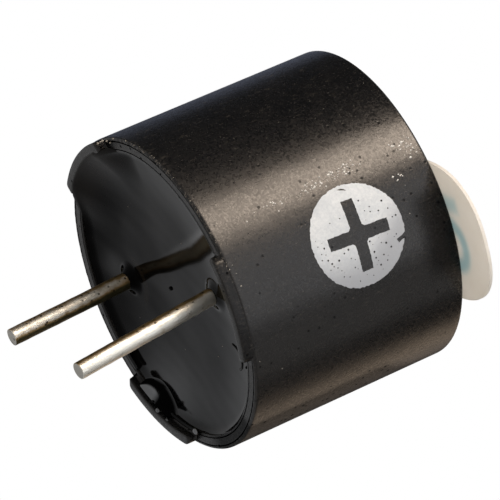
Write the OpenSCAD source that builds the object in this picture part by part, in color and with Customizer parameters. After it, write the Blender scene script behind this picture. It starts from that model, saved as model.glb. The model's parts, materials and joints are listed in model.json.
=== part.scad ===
// Magnetic buzzer, 12 mm round, through-hole, with its own drive circuit.
// The origin is the centre of the plane that the three feet stand on.
// +Z points to the sound-hole face, +X to the positive lead, and the leads run down along -Z.

/* [Case] */
// Diameter of the case at its foot
case_d = 12; // [10:0.1:15]
// Narrowing of that diameter up to the sound-hole face
case_draft = 0.2; // [0.1:0.05:0.6]
// Height from the board to the sound-hole face
case_h = 9.3; // [7.7:0.1:13]
// Thickness of the skirt around the works
skirt_wall = 0.55; // [0.4:0.05:0.8]
// Thickness of the roof
roof_wall = 0.9; // [0.6:0.1:1.3]
// Height of the sound chamber under the roof
chamber_h = 1.6; // [1.2:0.1:2.2]
// Width of the shoulder that rests on the support ring
chamber_shoulder = 0.65; // [0.5:0.05:1.2]
// Fillet of the chamber under the roof
chamber_fillet = 0.3; // [0.1:0.1:0.8]
// Rounding of the case's outer edges
edge_r = 0.1; // [0.05:0.05:0.3]
// Diameter of the sound hole
hole_d = 2; // [1:0.1:3]
// Chamfer at the mouth of the sound hole
hole_chamfer = 0.2; // [0.1:0.05:0.4]

/* [Feet] */
// Number of feet around the rim
foot_count = 3; // [2:1:6]
// Height of a foot below the low rim
foot_h = 0.36; // [0.2:0.02:0.5]
// Length of a foot across its ends
foot_w = 4; // [1.5:0.1:5]
// Step from the case's side in to a foot's outer side
foot_step = 0.03; // [0.01:0.01:0.08]
// Step from the skirt's inner face out to a foot's inner side
foot_inset = 0.12; // [0.04:0.02:0.2]
// Rounding of a foot's lower corners
foot_corner_r = 0.15; // [0.05:0.01:0.18]

/* [Potting resin] */
// Depth of the resin's flat surface inside the low rim
resin_depth = 0.44; // [0.3:0.02:0.6]
// Skirt left bare below the resin's climbing edge
rim_margin = 0.1; // [0.04:0.02:0.2]
// Width of the climbing edge at the skirt
wall_climb_w = 0.7; // [0.3:0.05:1]
// Height that the resin climbs at each lead
lead_climb = 0.16; // [0.1:0.02:0.24]
// Width of the climbing collar at each lead
lead_climb_w = 0.4; // [0.2:0.05:0.6]
// Resin over the transistor
resin_cover = 0.3; // [0.2:0.05:0.6]

/* [Leads] */
// Distance between the two leads
lead_pitch = 6.5; // [5.2:0.1:7.8]
// Diameter of a lead's tinned length
lead_d = 0.65; // [0.5:0.01:0.8]
// Thickness of the tin on a lead
tin_t = 0.025; // [0.02:0.005:0.05]
// Reach of the positive lead below the feet
positive_reach = 5.25; // [3:0.05:12]
// Reach of the negative lead below the feet
negative_reach = 4.3; // [3:0.05:12]
// Sideways lean of the positive lead, towards +Y
positive_lean = 4.7; // [0:0.1:6]
// Sideways lean of the negative lead, towards +Y
negative_lean = 3.2; // [0:0.1:6]
// Outward splay of each lead
lead_splay = 2; // [0:0.1:4]
// Offset of the row of leads from the case's axis
lead_row_y = -0.11; // [-0.2:0.01:0.2]
// Width of the shoulder that seats a lead against the circuit board
shoulder_w = 0.25; // [0.1:0.05:0.35]
// Thickness of that shoulder
shoulder_t = 0.2; // [0.1:0.05:0.25]

/* [Circuit board] */
// Thickness of the board
board_t = 0.6; // [0.4:0.1:0.8]
// Thickness of a copper land
land_t = 0.05; // [0.04:0.01:0.1]
// Width of the land around a lead
lead_land_w = 0.65; // [0.5:0.05:0.7]
// Width of the land around a coil end
coil_land_w = 0.42; // [0.3:0.02:0.5]
// Length of the land under a transistor's leg
leg_land_l = 0.8; // [0.6:0.1:0.9]
// Copper left around a leg or around a resistor's metal end
land_margin = 0.1; // [0.05:0.01:0.15]
// Height of the solder at a lead
solder_h = 0.5; // [0.35:0.05:0.6]
// Height of the solder at a coil end
coil_solder_h = 0.3; // [0.2:0.05:0.4]

/* [Drive circuit] */
// Length of the transistor's body
transistor_l = 2.9; // [2.7:0.1:3.1]
// Width of the transistor's body
transistor_w = 1.3; // [1.2:0.1:1.4]
// Height of the transistor above its lands
transistor_h = 0.95; // [0.8:0.05:1]
// Spread of the transistor's legs, end to end
leg_span = 2.4; // [2.2:0.1:2.6]
// Width of a leg
leg_w = 0.4; // [0.3:0.05:0.5]
// Thickness of a leg
leg_t = 0.12; // [0.08:0.02:0.15]
// Length of a leg's foot on its land
leg_foot_l = 0.36; // [0.3:0.02:0.4]
// Distance between the two legs on one side
leg_pitch = 1.9; // [1.8:0.1:2]
// Gap between the transistor's body and its lands
transistor_gap = 0.1; // [0.05:0.01:0.15]
// Draft of the transistor's body from its parting line
transistor_draft = 0.1; // [0.05:0.01:0.15]
// Offset of the transistor from the case's axis
transistor_y = -1.2; // [-1.4:0.1:-1]
// Length of the resistor
resistor_l = 1.6; // [1.4:0.1:2]
// Width of the resistor
resistor_w = 0.8; // [0.7:0.1:1]
// Height of the resistor
resistor_h = 0.45; // [0.3:0.05:0.6]
// Length of a resistor's metal end
resistor_end_l = 0.3; // [0.2:0.05:0.4]
// Distance of the resistor from the case's axis
resistor_offset = 3.1; // [3:0.1:3.6]
// Direction of the resistor from the case's axis
resistor_angle = -47; // [-55:1:-45]

/* [Magnetic drive] */
// Thickness of the insulating film on the board
film_t = 0.1; // [0.05:0.05:0.2]
// Thickness of the iron yoke plate
yoke_t = 0.6; // [0.4:0.1:0.8]
// Radial thickness of the ring magnet
magnet_w = 1.45; // [1:0.05:1.6]
// Diameter of the iron core
core_d = 1.8; // [1.4:0.1:2.2]
// Step from the core's face down to the magnet and the bobbin
core_step = 0.2; // [0.1:0.05:0.4]
// Gap between the bobbin and the magnet
bobbin_gap = 0.2; // [0.1:0.05:0.4]
// Wall of the bobbin's tube and flanges
bobbin_wall = 0.25; // [0.15:0.05:0.3]
// Step from the flanges' edge in to the wound copper
winding_step = 0.15; // [0.1:0.05:0.6]
// Diameter of the bundled wire at a coil end
wire_d = 0.16; // [0.1:0.02:0.2]
// Diameter of the passage for a coil end
wire_hole_d = 0.5; // [0.3:0.05:0.6]
// Flange left outside the passage for a coil end
wire_hole_margin = 0.2; // [0.15:0.05:0.4]
// Angle of each coil end from +Y
wire_angle = 30; // [20:1:34]

/* [Diaphragm] */
// Thickness of the diaphragm
diaphragm_t = 0.08; // [0.04:0.02:0.15]
// Air gap between the core and the diaphragm
air_gap = 0.3; // [0.15:0.05:0.5]
// Diameter of the weight at the diaphragm's middle
weight_d = 2.8; // [2:0.1:4]
// Thickness of the weight
weight_t = 0.35; // [0.2:0.05:0.6]
// Wall of the support ring around the magnet
ring_wall = 0.7; // [0.6:0.05:0.9]
// Wall of the lip that centres the diaphragm
lip_wall = 0.35; // [0.2:0.05:0.45]
// Height of the lip that centres the diaphragm
lip_h = 0.4; // [0.2:0.05:0.6]

/* [Seal label] */
// Width of the label that seals the sound hole
label_w = 5.96; // [3:0.01:7]
// Thickness of the label with its adhesive
label_t = 0.12; // [0.05:0.01:0.2]
// Length of the label's free end past the case's edge
label_overhang = 2.1; // [0.5:0.05:4]
// Face left bare beyond the label's other end
label_margin = 1.3; // [0.4:0.1:2.2]
// Direction of the label's free end from the positive lead
label_angle = 6.75; // [-180:0.25:180]

/* [Hidden] */

$fn = 96;
arc_steps = 6;
// running gap between the works and the skirt
works_gap = 0.1;
// slip gap around the magnet, the diaphragm and the core
slip_gap = 0.05;
// slip gap around a lead in the board
lead_gap = 0.05;
// bare wire between the resin and the tinned length of a lead
bare_l = 0.04;
// overlap that joins two shapes of one solid
join = 0.2;
// length of the bare wire inside the tinned length
root_l = 0.1;
// solder stops this far inside its land, and starts this thick around its wire
solder_edge = 0.05;
// past a face when cutting
past = 0.1;

skirt_r = case_d / 2 - skirt_wall;
chamber_r = skirt_r - chamber_shoulder;
works_r = skirt_r - works_gap;
ring_bore_r = works_r - ring_wall;
seat_r = works_r - lip_wall;
diaphragm_r = seat_r - slip_gap;
magnet_r = ring_bore_r - slip_gap;
magnet_bore_r = magnet_r - magnet_w;
bobbin_r = magnet_bore_r - bobbin_gap;
bobbin_bore_r = core_d / 2 + slip_gap;
bobbin_tube_r = bobbin_bore_r + bobbin_wall;
winding_r = bobbin_r - winding_step;
wire_r = bobbin_r - wire_hole_margin - wire_hole_d / 2;

resin_z = foot_h + resin_depth;
board_z = resin_z + resin_cover + transistor_h + land_t;
land_z = board_z - land_t;
board_top_z = board_z + board_t;
yoke_z = board_top_z + film_t;
drive_z = yoke_z + yoke_t;
roof_z = case_h - roof_wall;
lip_z = roof_z - chamber_h;
diaphragm_z = lip_z - lip_h;
core_top_z = diaphragm_z - air_gap;
magnet_h = core_top_z - core_step - drive_z;
bobbin_h = magnet_h;

lead_x = lead_pitch / 2;
bare_d = lead_d - 2 * tin_t;
bend_z = resin_z - lead_climb - bare_l;
lead_land_r = bare_d / 2 + lead_land_w;
coil_land_r = wire_d / 2 + coil_land_w;

// radius of the case's drafted side at height z
function side_r(z) = case_d / 2 - case_draft / 2 * z / case_h;

// points along an arc about [x, y]
function arc(x, y, r, from, to) = [for (i = [0:arc_steps])
    let (a = from + (to - from) * i / arc_steps) [x + r * cos(a), y + r * sin(a)]];

// plain ring between two radii, from height z
module ring(inner_r, outer_r, z, h) {
    translate([0, 0, z])
        difference() {
            cylinder(r = outer_r, h = h);
            translate([0, 0, -past])
                cylinder(r = inner_r, h = h + 2 * past);
        }
}

// a round passage along Z
module passage(d, z, h) {
    translate([0, 0, z - past])
        cylinder(d = d, h = h + 2 * past);
}

// places its children at both coil ends
module at_coil_ends() {
    for (side = [-1, 1])
        rotate([0, 0, side * wire_angle])
            translate([0, wire_r, 0])
                children();
}

// places its children at both leads
module at_leads() {
    for (side = [-1, 1])
        translate([side * lead_x, lead_row_y, 0])
            children();
}

// the case's shell without its feet: drafted side, rounded edges, chamber and shoulder
module case_shell() {
    top_r = side_r(case_h) - edge_r;
    low_r = side_r(foot_h) - edge_r;
    rotate_extrude()
        polygon(concat(
            [[skirt_r, foot_h], [skirt_r, lip_z], [chamber_r, lip_z]],
            arc(chamber_r - chamber_fillet, roof_z - chamber_fillet, chamber_fillet, 0, 90),
            [[0, roof_z], [0, case_h]],
            arc(top_r, case_h - edge_r, edge_r, 90, 0),
            arc(low_r, foot_h + edge_r, edge_r, 0, -90)));
}

// one foot: a stretch of the rim with rounded lower corners
module foot() {
    outer_r = case_d / 2 - foot_step;
    r = foot_corner_r;
    intersection() {
        ring(skirt_r + foot_inset, outer_r, 0, foot_h + join);
        rotate([90, 0, 90])
            linear_extrude(height = case_d)
                polygon(concat(
                    arc(foot_w / 2 - r, r, r, -90, 0),
                    [[foot_w / 2, foot_h + join], [-foot_w / 2, foot_h + join]],
                    arc(r - foot_w / 2, r, r, 180, 270)));
    }
}

// moulded housing, open below, with its feet and its sound hole
module case() {
    color("#232326")
        difference() {
            union() {
                case_shell();
                for (i = [0:foot_count - 1])
                    rotate([0, 0, i * 360 / foot_count])
                        foot();
            }
            passage(hole_d, roof_z, roof_wall);
            translate([0, 0, case_h - hole_chamfer])
                cylinder(d1 = hole_d, d2 = hole_d + 4 * hole_chamfer, h = 2 * hole_chamfer);
        }
}

// die-cut film over the sound hole, with one end free past the case's edge
module seal_label() {
    r = label_w / 2;
    free_x = side_r(case_h) + label_overhang - r;
    back_x = label_margin - side_r(case_h) + r;
    color("#d9d4cc")
        rotate([0, 0, label_angle])
            translate([0, 0, case_h])
                union() {
                    translate([back_x, -r, 0])
                        cube([free_x - back_x, label_w, label_t]);
                    for (x = [back_x, free_x])
                        translate([x, 0, 0])
                            cylinder(r = r, h = label_t);
                }
}

// thin steel disc that sounds
module diaphragm() {
    color("#b9bcc0")
        translate([0, 0, diaphragm_z])
            cylinder(r = diaphragm_r, h = diaphragm_t);
}

// small iron disc welded to the diaphragm's middle
module diaphragm_weight() {
    color("#9a9ca0")
        translate([0, 0, diaphragm_z + diaphragm_t])
            cylinder(d = weight_d, h = weight_t);
}

// plastic ring that stands on the board, holds the magnet and seats the diaphragm
module support_ring() {
    color("#2f2f33")
        rotate_extrude()
            polygon([
                [ring_bore_r, board_top_z], [works_r, board_top_z], [works_r, lip_z],
                [seat_r, lip_z], [seat_r, diaphragm_z], [ring_bore_r, diaphragm_z]]);
}

// ring magnet around the coil
module magnet_ring() {
    color("#4a4a4c")
        ring(magnet_bore_r, magnet_r, drive_z, magnet_h);
}

// iron core, pressed into the yoke
module pole_core() {
    color("#a4a7ab")
        translate([0, 0, yoke_z])
            cylinder(d = core_d, h = core_top_z - yoke_z);
}

// iron plate that closes the magnetic path under the magnet and the coil
module yoke_plate() {
    color("#8f9296")
        difference() {
            ring(core_d / 2, magnet_r, yoke_z, yoke_t);
            at_coil_ends()
                passage(wire_hole_d, yoke_z, yoke_t);
        }
}

// plastic spool on the core
module coil_bobbin() {
    color("#e6e0cc")
        difference() {
            union() {
                ring(bobbin_bore_r, bobbin_tube_r, drive_z, bobbin_h);
                for (z = [drive_z, drive_z + bobbin_h - bobbin_wall])
                    ring(bobbin_bore_r, bobbin_r, z, bobbin_wall);
            }
            at_coil_ends()
                passage(wire_hole_d, drive_z, bobbin_wall);
        }
}

// enamelled copper wound on the spool
module coil_winding() {
    color("#b4652f")
        ring(bobbin_tube_r, winding_r, drive_z + bobbin_wall, bobbin_h - 2 * bobbin_wall);
}

// both ends of the winding, led down to the board's underside
module coil_leads() {
    low_z = land_z - coil_solder_h / 2;
    color("#c27a3a")
        at_coil_ends()
            translate([0, 0, low_z])
                cylinder(d = wire_d, h = drive_z + bobbin_wall - low_z);
}

// film that keeps the yoke off the board's upper side
module insulating_film() {
    color("#d8b45a")
        difference() {
            translate([0, 0, board_top_z])
                cylinder(r = magnet_r, h = film_t);
            at_coil_ends()
                passage(wire_hole_d, board_top_z, film_t);
        }
}

// round circuit board
module circuit_board() {
    color("#2f6b46")
        difference() {
            translate([0, 0, board_z])
                cylinder(r = works_r, h = board_t);
            at_coil_ends()
                passage(wire_hole_d, board_z, board_t);
            at_leads()
                passage(bare_d + 2 * lead_gap, board_z, board_t);
        }
}

// places its children at the transistor's three legs, each with its foot towards +Y
module at_legs() {
    translate([0, transistor_y, 0]) {
        for (x = [-leg_pitch / 2, leg_pitch / 2])
            translate([x, 0, 0])
                children();
        rotate([0, 0, 180])
            children();
    }
}

// places its children at the resistor
module at_resistor() {
    rotate([0, 0, resistor_angle])
        translate([resistor_offset, 0, 0])
            rotate([0, 0, 90])
                children();
}

// copper lands on the board's underside
module board_lands() {
    leg_land_w = leg_w + 2 * land_margin;
    end_land_l = resistor_end_l + 2 * land_margin;
    color("#c9873f")
        translate([0, 0, land_z]) {
            at_leads()
                ring(bare_d / 2, lead_land_r, 0, land_t);
            at_coil_ends()
                ring(wire_d / 2, coil_land_r, 0, land_t);
            at_legs()
                translate([-leg_land_w / 2, leg_span / 2 + land_margin - leg_land_l, 0])
                    cube([leg_land_w, leg_land_l, land_t]);
            at_resistor()
                for (side = [-1, 1])
                    translate([side * (resistor_l - resistor_end_l) / 2, 0, land_t / 2])
                        cube([end_land_l, resistor_w + 2 * land_margin, land_t], center = true);
        }
}

// moulded body of the transistor, drafted from its parting line
module transistor_body() {
    low_z = land_z - transistor_h;
    high_z = land_z - transistor_gap;
    mid_z = (low_z + high_z) / 2;
    w = transistor_w / 2;
    color("#1d1d1f")
        translate([-transistor_l / 2, transistor_y, 0])
            rotate([90, 0, 90])
                linear_extrude(height = transistor_l)
                    polygon([
                        [-w, mid_z], [transistor_draft - w, low_z], [w - transistor_draft, low_z],
                        [w, mid_z], [w - transistor_draft, high_z], [transistor_draft - w, high_z]]);
}

// three bent legs of the transistor
module transistor_legs() {
    mid_z = land_z - (transistor_h + transistor_gap) / 2;
    body_y = transistor_w / 2;
    body_slope = 2 * transistor_draft / (transistor_h - transistor_gap);
    end_y = leg_span / 2;
    knee_y = end_y - leg_foot_l;
    color("#c8cacc")
        at_legs()
            translate([-leg_w / 2, 0, 0])
                rotate([90, 0, 90])
                    linear_extrude(height = leg_w)
                        polygon([
                            [body_y, mid_z], [knee_y, mid_z], [knee_y, land_z - leg_t],
                            [end_y, land_z - leg_t], [end_y, land_z], [knee_y - leg_t, land_z],
                            [knee_y - leg_t, mid_z + leg_t],
                            [body_y - body_slope * leg_t, mid_z + leg_t]]);
}

// ceramic body of the resistor
module resistor_body() {
    color("#e8e8e6")
        at_resistor()
            translate([0, 0, land_z - resistor_h / 2])
                cube([resistor_l - 2 * resistor_end_l, resistor_w, resistor_h], center = true);
}

// metal ends of the resistor
module resistor_ends() {
    color("#c8cacc")
        at_resistor()
            for (side = [-1, 1])
                translate([side * (resistor_l - resistor_end_l) / 2, 0, land_z - resistor_h / 2])
                    cube([resistor_end_l, resistor_w, resistor_h], center = true);
}

// round lead: straight, bare and shouldered in the resin, then tinned and leaning to its cut end
module lead(side, reach, lean) {
    translate([side * lead_x, lead_row_y, 0]) {
        translate([0, 0, bend_z - root_l])
            cylinder(d = bare_d, h = board_top_z - bend_z + root_l);
        translate([0, 0, land_z - shoulder_t])
            cylinder(r = bare_d / 2 + shoulder_w, h = shoulder_t);
        translate([0, 0, bend_z])
            rotate([lean, -side * lead_splay, 0])
                mirror([0, 0, 1])
                    cylinder(d = lead_d, h = (bend_z + reach) / (cos(lean) * cos(lead_splay)));
    }
}

// longer lead, beside the plus sign
module positive_lead() {
    color("#cfc9bd")
        lead(1, positive_reach, positive_lean);
}

// shorter lead
module negative_lead() {
    color("#cfc9bd")
        lead(-1, negative_reach, negative_lean);
}

// cone of solder on a land of radius land_r, around a wire
module solder_cone(land_r, wire_r, h) {
    translate([0, 0, land_z - h])
        cylinder(r1 = wire_r + solder_edge, r2 = land_r - solder_edge, h = h);
}

// all the solder, before the wires pass through it
module solder_cones() {
    at_leads()
        solder_cone(lead_land_r, bare_d / 2, solder_h);
    at_coil_ends()
        solder_cone(coil_land_r, wire_d / 2, coil_solder_h);
}

// solder at both leads and both coil ends
module solder_joints() {
    color("#b8bbc0")
        difference() {
            solder_cones();
            positive_lead();
            negative_lead();
            coil_leads();
        }
}

// resin cast into the open end, climbing at the skirt and at the leads
module potting_resin() {
    wall_climb = resin_depth - rim_margin;
    collar_r = lead_d / 2 + lead_climb_w;
    color("#17171a")
        difference() {
            union() {
                rotate_extrude()
                    polygon(concat(
                        [[0, board_z], [0, resin_z]],
                        [for (i = [0:arc_steps]) let (k = i / arc_steps)
                            [skirt_r - wall_climb_w * (1 - k), resin_z - wall_climb * k * k]],
                        [[skirt_r, board_z]]));
                at_leads()
                    rotate_extrude()
                        polygon(concat(
                            [[0, resin_z + join], [0, resin_z - lead_climb]],
                            [for (i = [0:arc_steps]) let (k = 1 - i / arc_steps)
                                [collar_r - lead_climb_w * k, resin_z - lead_climb * k * k]],
                            [[collar_r, resin_z + join]]));
            }
            board_lands();
            transistor_body();
            transistor_legs();
            resistor_body();
            resistor_ends();
            solder_cones();
            positive_lead();
            negative_lead();
            coil_leads();
        }
}

case();
seal_label();
diaphragm();
diaphragm_weight();
support_ring();
magnet_ring();
pole_core();
yoke_plate();
coil_bobbin();
coil_winding();
coil_leads();
insulating_film();
circuit_board();
board_lands();
transistor_body();
transistor_legs();
resistor_body();
resistor_ends();
positive_lead();
negative_lead();
solder_joints();
potting_resin();
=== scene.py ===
import json
import math
import random

import bpy
import numpy as np
from mathutils import Matrix, Vector, noise
from mathutils.geometry import delaunay_2d_cdt


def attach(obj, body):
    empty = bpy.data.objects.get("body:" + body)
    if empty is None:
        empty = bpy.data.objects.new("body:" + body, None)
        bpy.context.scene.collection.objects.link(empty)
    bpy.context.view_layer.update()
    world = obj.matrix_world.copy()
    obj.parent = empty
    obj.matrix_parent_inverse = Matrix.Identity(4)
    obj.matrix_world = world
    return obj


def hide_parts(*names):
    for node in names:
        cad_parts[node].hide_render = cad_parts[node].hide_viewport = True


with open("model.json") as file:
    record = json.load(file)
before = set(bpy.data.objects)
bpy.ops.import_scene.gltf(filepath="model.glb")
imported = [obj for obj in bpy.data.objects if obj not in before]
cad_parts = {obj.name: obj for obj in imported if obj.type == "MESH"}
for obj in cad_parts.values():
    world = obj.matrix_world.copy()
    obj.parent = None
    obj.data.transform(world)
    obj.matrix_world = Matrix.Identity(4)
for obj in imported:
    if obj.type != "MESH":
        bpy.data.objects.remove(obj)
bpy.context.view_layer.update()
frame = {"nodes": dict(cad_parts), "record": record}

# Lengths are in millimetres until a mesh is made. The feet stand on z = 0, +Z points to the sound-hole face
# and +X to the positive lead. The sizes repeat those of the CAD model.
MM = 0.001

# Moulded case
CASE_R = 6.0
CASE_TOP_R = 5.9
CASE_H = 9.3
SKIRT_WALL = 0.55
SKIRT_R = CASE_R - SKIRT_WALL
CHAMBER_R = 4.8
CHAMBER_FILLET = 0.3
ROOF_Z = 8.4
LIP_Z = 6.8
HOLE_R = 1.0
HOLE_CHAMFER = 0.2
EDGE_R = 0.1

# Its three feet
FOOT_ANGLES = (0.0, 120.0, 240.0)
FOOT_H = 0.36
FOOT_HALF_W = 2.0
FOOT_CORNER_R = 0.15
FOOT_END_R = 0.24
FOOT_OUTER_R = CASE_R - 0.03
FOOT_INNER_R = SKIRT_R + 0.12
FOOT_MID_R = (FOOT_OUTER_R + FOOT_INNER_R) / 2

# Resin: its open surface, and how far that climbs the wall and the leads
RESIN_Z = 0.8
RESIN_TOP_Z = 2.1
WALL_CLIMB = 0.34
SLOW_CLIMB = 0.22
POSITIVE_CLIMB = 0.16
NEGATIVE_CLIMB = 0.26
LEAD_CLIMB_W = 0.4

# Leads
LEAD_X = 3.25
LEAD_Y = -0.11
LEAD_R = 0.325
BARE_R = 0.3
BEND_Z = 0.6
BOARD_TOP_Z = 2.7
LAND_Z = 2.05
SHOULDER_R = 0.55
SHOULDER_T = 0.2

# Seal label: its two round ends, and how far it is turned
LABEL_R = 2.98
LABEL_T = 0.12
LABEL_FREE_X = 5.02
LABEL_BACK_X = -1.62
LABEL_ANGLE = 6.75

# Printed disc with the plus sign
PLUS_ANGLE = -7.3
PLUS_Z = 5.58
PLUS_R = 1.87

rng = random.Random(12)


def srgb(code):
    """A linear colour from an sRGB hex value."""
    parts = [int(code[i : i + 2], 16) / 255 for i in (1, 3, 5)]
    return [p / 12.92 if p <= 0.04045 else ((p + 0.055) / 1.055) ** 2.4 for p in parts] + [1.0]


def smoothstep(low, high, x):
    """From 0 at low to 1 at high, without a kink at either end."""
    k = min(1.0, max(0.0, (x - low) / (high - low)))
    return k * k * (3 - 2 * k)


def ripple(x, y, z=0.0, size=1.0):
    """Smooth noise from -1 to 1 with features of the given size."""
    return noise.noise(Vector((x / size, y / size, z / size)))


def angle_of(x, y):
    """Direction of a place seen from the case's axis, from 0 to 360 degrees."""
    return math.degrees(math.atan2(y, x)) % 360


def mesh_piece(name, points, faces, smooth=True):
    """An object from points in millimetres."""
    mesh = bpy.data.meshes.new(name)
    mesh.from_pydata([(x * MM, y * MM, z * MM) for x, y, z in points], [], faces)
    mesh.validate()
    mesh.update()
    mesh.polygons.foreach_set("use_smooth", [smooth] * len(mesh.polygons))
    piece = bpy.data.objects.new(name, mesh)
    bpy.context.scene.collection.objects.link(piece)
    return piece


def round_faces(columns, rows, closed=False):
    """Quads over columns of points that stand in a circle. A closed column's last point joins its first."""
    faces = []
    for c in range(columns):
        d = (c + 1) % columns
        for r in range(rows if closed else rows - 1):
            s = (r + 1) % rows
            faces.append((c * rows + r, d * rows + r, d * rows + s, c * rows + s))
    return faces


def put_mask(piece, name, values):
    """Stores one number per vertex for a material to read."""
    layer = piece.data.attributes.new(name, "FLOAT", "POINT")
    layer.data.foreach_set("value", values)


def capped_tube(rings):
    """A closed skin over rings of points, with a fan around one more point at each end: (points, faces)."""
    count = len(rings[0])
    points = [tuple(p) for ring in rings for p in ring]
    faces = []
    for i in range(len(rings) - 1):
        for k in range(count):
            m = (k + 1) % count
            faces.append((i * count + k, i * count + m, (i + 1) * count + m, (i + 1) * count + k))
    last = (len(rings) - 1) * count
    for first, ring in ((0, rings[0]), (last, rings[-1])):
        middle = len(points)
        points.append(tuple(sum((Vector(p) for p in ring), Vector()) / count))
        for k in range(count):
            m = (k + 1) % count
            faces.append((middle, first + m, first + k) if first == 0 else (middle, first + k, first + m))
    return points, faces


# ---------------------------------------------------------------- materials

# Sockets of a Mix node that mixes colours: the two that go in, and the one that comes out.
FIRST, SECOND, MIXED = 6, 7, 2


def add(tree, kind, inputs=None, **settings):
    """Adds a shader node. An input is a number, a colour or (node, output) to link."""
    made = tree.nodes.new("ShaderNode" + kind)
    for key, value in settings.items():
        setattr(made, key, value)
    for key, value in (inputs or {}).items():
        socket = made.inputs[key]
        if isinstance(value, tuple) and isinstance(value[0], bpy.types.Node):
            tree.links.new(value[0].outputs[value[1]], socket)
        else:
            socket.default_value = value
    return made


def new_material(name):
    """A material with an empty node tree, and that tree."""
    material = bpy.data.materials.new(name)
    material.use_nodes = True
    tree = material.node_tree
    tree.nodes.clear()
    return material, tree


def per_mm(size):
    """Noise scale for features of this size in millimetres, on object coordinates in metres."""
    return 1.0 / (size * MM)


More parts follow.
